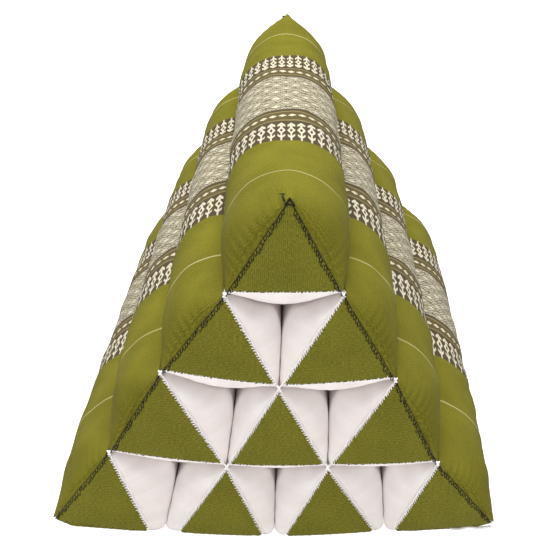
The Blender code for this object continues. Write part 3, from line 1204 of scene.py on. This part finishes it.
@dataclass
class Thread:
    """Stitches of one thread: thin tubes along short curves, gathered into one piece."""

    name: str
    material: bpy.types.Material
    slot: str
    sides: int = 5
    # A direction that no curve follows, and the share of its radius that a tube ends with.
    aside: tuple = (0.24, 0.95, 0.19)
    taper: float = 0.2
    batches: list = field(default_factory=list)

    def add(self, curves: np.ndarray, radius: float) -> None:
        """Add tubes along curves (n, m, 3), which close at both ends."""
        sides = self.sides
        tangent = unit(np.gradient(curves, axis=1))
        side = unit(np.cross(tangent, np.array(self.aside)))
        up = np.cross(side, tangent)
        angle = np.arange(sides) * math.tau / sides
        width = np.full(curves.shape[1], radius)
        width[[0, -1]] *= self.taper
        ring = side[:, :, None] * np.cos(angle)[:, None] + up[:, :, None] * np.sin(angle)[:, None]
        points = curves[:, :, None] + ring * width[:, None, None]
        count, steps = curves.shape[:2]
        quads = grid_quads(steps, sides, closed=True)[:, ::-1]
        offset = np.arange(count)[:, None, None] * steps * sides
        self.batches.append((points.reshape(-1, 3), (quads + offset).reshape(-1, 4)))

    def build(self) -> bpy.types.Object:
        """Join everything added so far into one object that rides on the body."""
        starts = np.cumsum([0] + [len(points) for points, _ in self.batches])
        points = np.concatenate([points for points, _ in self.batches])
        faces = [quads + start for (_, quads), start in zip(self.batches, starts)]
        piece = make_mesh(self.name, points, faces, outward=True)
        piece.data.materials.append(self.material)
        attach(piece, BODY)
        return piece


@dataclass(frozen=True)
class CordForm:
    """A thread that runs along an edge and sways a little from side to side.

    The depth counts from the panel's inset, and the rise from the casing's crown.
    """

    depth: float
    rise: float
    margin: float
    points: int
    sways: int
    sway: float
    radius: float


@dataclass(frozen=True)
class StitchForm:
    """A row of equal stitches along an edge.

    Each point has its place along the edge, its depth past the panel's inset and its height
    above the casing's crown, in millimetres. The other lengths are in metres. The looseness is
    how far a stitch strays, and the bend share how much of that its own points stray.
    """

    points: tuple
    pitch: float
    first: float
    last: float
    looseness: float
    radius: float
    bend_share: float = 0.35


# Radius of the dark thread.
FINE = 0.00030
CORD = CordForm(-0.0001, 0.0009, margin=0.001, points=110, sways=30, sway=0.00022, radius=1.6 * FINE)
ROLL = CordForm(-0.0009, 0.0001, margin=0.002, points=80, sways=26, sway=0.00018, radius=0.00080)
LEG = StitchForm(
    (
        (-0.66, -1.4, 0.4), (0.33, -0.3, 1.3), (1.485, 0.8, 1.5), (2.805, 1.7, 1.5),
        (3.795, 1.9, 1.2), (3.894, 1.2, 1.5), (3.564, 0.3, 1.5), (3.3, -0.5, 1.1),
    ),
    pitch=0.0033, first=0.002, last=0.005, looseness=0.00042, radius=FINE,
)
WHIP = StitchForm(
    ((-0.24, -1.1, 0.2), (0.0, -0.7, 0.7), (0.6, -0.1, 1.0), (1.2, 0.5, 0.9), (1.488, 0.8, 0.3)),
    pitch=0.0024, first=0.0035, last=0.0045, looseness=0.00016, radius=0.00048,
)
SPECK = StitchForm(
    ((-0.5, 0.6, 1.0), (0.0, 0.9, 1.3), (0.5, 0.7, 1.0)),
    pitch=0.0072, first=0.0071, last=0.0033, looseness=0.00025, radius=0.8 * FINE,
)
DASH = StitchForm(
    ((-1.2, -0.1, 0.6), (-0.6, 0.3, 1.3), (0.6, 0.4, 1.3), (1.2, 0.0, 0.6)),
    pitch=0.0054, first=0.005, last=0.006, looseness=0.00028, radius=FINE,
)


@dataclass(frozen=True)
class Seam:
    """One edge of a panel as it is sewn; the seed chooses the unevenness of its threads."""

    panel: EndPanel
    edge: Edge
    seed: int

    def place(self, run: np.ndarray, depth: np.ndarray, rise: np.ndarray | float) -> np.ndarray:
        """Points on the face, along the edge, past the panel's inset and above the crown."""
        flat = self.edge.at(run, self.edge.inset + depth)
        return self.panel.face.lay(flat, rise, self.panel.crown)

    def cord(self, thread: Thread, form: CordForm, gap: float = 0.0) -> None:
        """Add one thread along the edge, which starts past a gap."""
        run = np.linspace(max(gap, form.margin), self.edge.length - form.margin, form.points)
        sways = np.random.default_rng(self.seed).normal(0.0, form.sway, form.sways)
        sway = np.interp(run, np.linspace(0.0, self.edge.length, form.sways), sways)
        thread.add(self.place(run, form.depth + sway, form.rise)[None], form.radius)

    def stitches(self, thread: Thread, form: StitchForm, gap: float = 0.0) -> None:
        """Add a row of stitches along the edge, which starts past a gap."""
        starts = np.arange(gap + form.first, self.edge.length - form.last, form.pitch)
        along, depth, rise = 0.001 * np.array(form.points).T
        draw = np.random.default_rng(self.seed)
        shift = draw.normal(0.0, form.looseness, (len(starts), 1, 2))
        bend = form.looseness * form.bend_share
        loose = shift + draw.normal(0.0, bend, (len(starts), len(along), 2))
        run = starts[:, None] + along + loose[..., 0]
        thread.add(self.place(run, depth + loose[..., 1], rise), form.radius)


@dataclass
class Sewing:
    """Hand sewing round the end panels, in a dark thread and a white one."""

    dark: Thread
    white: Thread
    apex_gap: float = 0.0055
    knot_size: float = 0.0019
    knot_loops: int = 6
    seam_proud: float = 0.0012
    tail_reach: float = 0.0078

    def blanket(self, seam: Seam) -> None:
        """Dark blanket stitch on an outer edge, from the apex down: a cord with slanting legs."""
        edge = seam.edge
        if edge.start[1] < edge.stop[1]:
            seam = replace(seam, edge=replace(edge, start=edge.stop, stop=edge.start))
        gap = self.apex_gap if seam.panel.face.shape.row == 0 else CORD.margin
        seam.cord(self.dark, CORD, gap)
        seam.stitches(self.dark, LEG, gap)

    def whip(self, seam: Seam) -> None:
        """White whip stitches over a rolled edge, with dark specks among them beside a pocket."""
        seam.cord(self.white, ROLL)
        seam.stitches(self.white, WHIP)
        if not seam.edge.base:
            replace(seam, seed=seam.seed + 1).stitches(self.dark, SPECK)

    def sew(self, panel: EndPanel) -> None:
        """Sew the three edges of a panel."""
        shape = panel.face.shape
        seed = 100 * shape.row + 10 * shape.place + (panel.face.end is End.BACK)
        for number, edge in enumerate(panel.edges()):
            seam = Seam(panel, edge, seed + 1000 * number)
            if edge.outer:
                self.blanket(seam)
            elif shape.last_row and edge.base:
                seam.stitches(self.dark, DASH)
            else:
                self.whip(seam)
                if edge.base:
                    replace(seam, seed=seam.seed + 7).stitches(self.dark, DASH)

    def knot(self, place: np.ndarray, seed: int) -> None:
        """Small dark tangle: arcs of random directions about a place."""
        draw = np.random.default_rng(seed)
        each = (self.knot_loops, 1, 3)
        one = unit(draw.normal(size=each))
        two = unit(np.cross(one, draw.normal(size=each)))
        turn = np.linspace(0.0, 1.0, 9)[None, :, None] * draw.uniform(2.0, 5.0, (each[0], 1, 1))
        reach = self.knot_size * draw.uniform(0.5, 1.0, (each[0], 1, 1))
        arcs = (one * np.cos(turn) + two * np.sin(turn)) * reach * [1.0, 0.45, 1.0]
        shift = draw.normal(0.0, self.knot_size * 0.3, each) * [1.0, 0.3, 1.0]
        self.dark.add(place + arcs + shift, FINE)

    def cross(self, place: np.ndarray, seed: int, reach: float) -> None:
        """White cross of doubled thread over a seam point."""
        draw = np.random.default_rng(seed)
        t = np.linspace(-1.0, 1.0, 7)[None, :]
        lean = np.array([0.95, 1.15, -0.95, -1.15])[:, None] + draw.normal(0.0, 0.08, (4, 1))
        across, up = t * reach * np.cos(lean), t * reach * np.sin(lean)
        away = np.broadcast_to(np.sign(place[1]) * 0.0006 * (1.0 - t * t), across.shape)
        self.white.add(place + np.stack([across, away, up], axis=-1), 0.0007)

    def tie(self, lattice: Lattice) -> None:
        """Tie knots where seams meet: dark ones on the outer seams, white crosses inside."""
        for (end, line, place), seam in lattice.seams.items():
            seed = 500 + 50 * line + 5 * place + (end is End.BACK)
            front = seam + [0.0, end.value * self.seam_proud, 0.0]
            outer = place in (0, line)
            if 0 < line < ROWS:
                if outer:
                    self.knot(front, seed)
                self.cross(front, seed, 0.0026 if outer else 0.0036)

    def hem(self, lattice: Lattice) -> None:
        """Folded edge of the underside's cloth that shows below the front right panel."""
        corner, foot = lattice.feet[End.FRONT, ROWS - 1, ROWS - 1][[2, 1]]
        t = np.linspace(0.0, 1.0, 24)
        across = corner[0] - 0.001 + (foot[0] - corner[0]) * 0.42 * t
        out = corner[1] + (foot[1] - corner[1]) * 0.42 * t - 0.0012 - 0.0006 * np.sin(9.0 * t)
        up = 0.0016 + 0.0004 * np.sin(14.0 * t)
        self.white.add(np.stack([across, out, up], axis=-1)[None], 0.0012)

    def tail(self, lattice: Lattice) -> None:
        """Dark threads about each apex.

        A hood lies over the panel's tip, and a tail runs up onto the cover. A short thread
        crosses the tail's upper end, and a level one lies below the apex.
        """
        top = TubeShape(lattice, 0, 0)
        stations = Stations(lattice.length)
        skin = top.wall(Wall.LEFT, stations, np.array([0.03, 0.05]))[:, 1]
        wide = np.linspace(-1.0, 1.0, 17)
        t = np.linspace(0.0, 1.0, 14)
        for end in End:
            apex = lattice.seams[end, 0, 0]
            reach = (stations.end == end.value) & (stations.depth < self.tail_reach)
            path = skin[reach][:: 1 if end is End.FRONT else -1] + [-0.0012, 0.0, 0.0022]
            start = apex + [-0.0030, end.value * 0.0022, -0.0045]
            out = np.full(17, end.value * 0.0017)
            hood = np.stack([0.0036 * wide, out, -0.0006 - 0.0056 * np.abs(wide) ** 1.2], axis=-1)
            self.dark.add((apex + hood)[None], 2.0 * FINE)
            self.dark.add(np.vstack([start, path])[None], 2.4 * FINE)
            across = np.stack([0.0046 * (t - 0.5), np.zeros(14), 0.0012 * t * (1.0 - t)], axis=-1)
            self.dark.add((path[-1] + across)[None], 1.2 * FINE)
            out = np.full(14, end.value * 0.0024)
            level = np.stack([0.0072 * (t - 0.5), out, -0.0043 - 0.006 * (t - 0.5) ** 2], axis=-1)
            self.dark.add((apex + level)[None], 1.6 * FINE)


@dataclass
class Studio:
    """Pale floor, soft light and the camera."""

    camera_place: tuple = (0.01337, -0.84496, 0.55531)
    camera_turn: float = math.radians(-1.39)
    camera_tilt: float = math.radians(-28.52)
    lens: float = 64.1
    # The floor and the world each cast one strength of light and show another to the camera.
    floor_albedo: float = 0.36
    floor_glow: tuple = (0.60, 1.05)
    world_glow: tuple = (0.30, 1.0)
    # Place, size and power of each lamp.
    lamps: tuple = (
        ("overhead", (-0.1, 0.35, 3.0), 2.6, 196.0),
        ("front_fill", (0.0, -2.6, 0.7), 1.4, 23.0),
    )

    def floor(self) -> None:
        """Wide pale floor that stays out of the object."""
        bpy.ops.mesh.primitive_plane_add(size=60.0, location=(0.0, 0.0, -0.0002))
        floor = bpy.context.object
        floor.name = "studio_floor"
        paint = bpy.data.materials.new("studio_white")
        paint.use_nodes = True
        shader = paint.node_tree.nodes["Principled BSDF"]
        shader.inputs["Base Color"].default_value = (*[self.floor_albedo] * 3, 1.0)
        shader.inputs["Emission Color"].default_value = (1.0, 1.0, 1.0, 1.0)
        self.white_to_camera(paint.node_tree, shader.inputs["Emission Strength"], *self.floor_glow)
        shader.inputs["Roughness"].default_value = 0.9
        shader.inputs["Specular IOR Level"].default_value = 0.0
        floor.data.materials.append(paint)

    def white_to_camera(self, tree: bpy.types.NodeTree, socket, strength: float, seen: float) -> None:
        """Give a strength one value for the light it casts and another for how it is seen."""
        path = tree.nodes.new("ShaderNodeLightPath")
        blend = tree.nodes.new("ShaderNodeMapRange")
        blend.inputs["To Min"].default_value = strength
        blend.inputs["To Max"].default_value = seen
        tree.links.new(path.outputs["Is Camera Ray"], blend.inputs["Value"])
        tree.links.new(blend.outputs["Result"], socket)

    def lamp(self, name: str, place: tuple, size: float, power: float) -> None:
        """Square area lamp that looks at the middle of the cushion."""
        data = bpy.data.lights.new(name, "AREA")
        data.size = size
        data.energy = power
        lamp = bpy.data.objects.new(name, data)
        bpy.context.scene.collection.objects.link(lamp)
        lamp.location = place
        aim = Vector((0.0, 0.0, 0.12)) - Vector(place)
        lamp.rotation_euler = aim.to_track_quat("-Z", "Y").to_euler()

    def light(self) -> None:
        """Large overhead light, a softer one from the front and an even white surround."""
        world = bpy.data.worlds.new("studio_air")
        world.use_nodes = True
        background = world.node_tree.nodes["Background"]
        background.inputs["Color"].default_value = (1.0, 1.0, 1.0, 1.0)
        self.white_to_camera(world.node_tree, background.inputs["Strength"], *self.world_glow)
        bpy.context.scene.world = world
        for name, place, size, power in self.lamps:
            self.lamp(name, place, size, power)
        bpy.context.scene.view_settings.view_transform = "Standard"

    def camera(self) -> None:
        """Camera in front of the cushion and above it."""
        data = bpy.data.cameras.new("camera")
        data.lens = self.lens
        data.sensor_width = 36.0
        camera = bpy.data.objects.new("camera", data)
        bpy.context.scene.collection.objects.link(camera)
        camera.location = self.camera_place
        level = math.cos(self.camera_tilt)
        aim = Vector((
            math.sin(self.camera_turn) * level,
            math.cos(self.camera_turn) * level,
            math.sin(self.camera_tilt),
        ))
        camera.rotation_euler = aim.to_track_quat("-Z", "Y").to_euler()
        bpy.context.scene.camera = camera

    def build(self) -> None:
        """Set up everything around the object."""
        self.camera()
        self.floor()
        self.light()


def main() -> None:
    """Build the cushion's pieces in order and the studio round them."""
    logging.basicConfig(level=logging.INFO, format="%(message)s")
    Studio().build()
    lattice = Lattice()
    LOG.info("seam length %.3f m", lattice.length)
    muslin = MuslinFinish().material()
    green = PanelFinish().material()
    cover = CoverFinish()
    woven = cover.material()
    dark = ThreadFinish("thread_dark", linear(26, 24, 10)).material()
    white = ThreadFinish("thread_white", linear(250, 246, 243)).material()
    sewing = Sewing(
        dark=Thread("stitches_dark", dark, "green_cotton"),
        white=Thread("stitches_white", white, "cream_muslin"),
    )
    for row in range(ROWS):
        for place in range(row + 1):
            shape = TubeShape(lattice, row, place)
            piece = Casing(shape, muslin).build()
            LOG.info("%s: %d faces", piece.name, len(piece.data.polygons))
            for end in End:
                panel = EndPanel(EndFace(shape, end), green)
                panel.build()
                sewing.sew(panel)
    top = TubeShape(lattice, 0, 0)
    both = (Wall.RIGHT, Wall.LEFT)
    CoverStrip(top, both, "cover_1", woven, cover.pitch, edge_share=TOP_EDGE_SHARE).build()
    for row, backs in zip(range(1, ROWS), STRIP_SET_BACK):
        for wall, place, back in zip((Wall.LEFT, Wall.RIGHT), (0, row), backs):
            shape = TubeShape(lattice, row, place)
            node = f"cover_{row + 1}_{wall.name.lower()}"
            CoverStrip(shape, (wall,), node, woven, cover.pitch, set_back=back).build()
    sewing.tie(lattice)
    sewing.tail(lattice)
    sewing.hem(lattice)
    for thread in (sewing.dark, sewing.white):
        LOG.info("%s: %d faces", thread.name, len(thread.build().data.polygons))


if __name__ == "__main__":
    main()
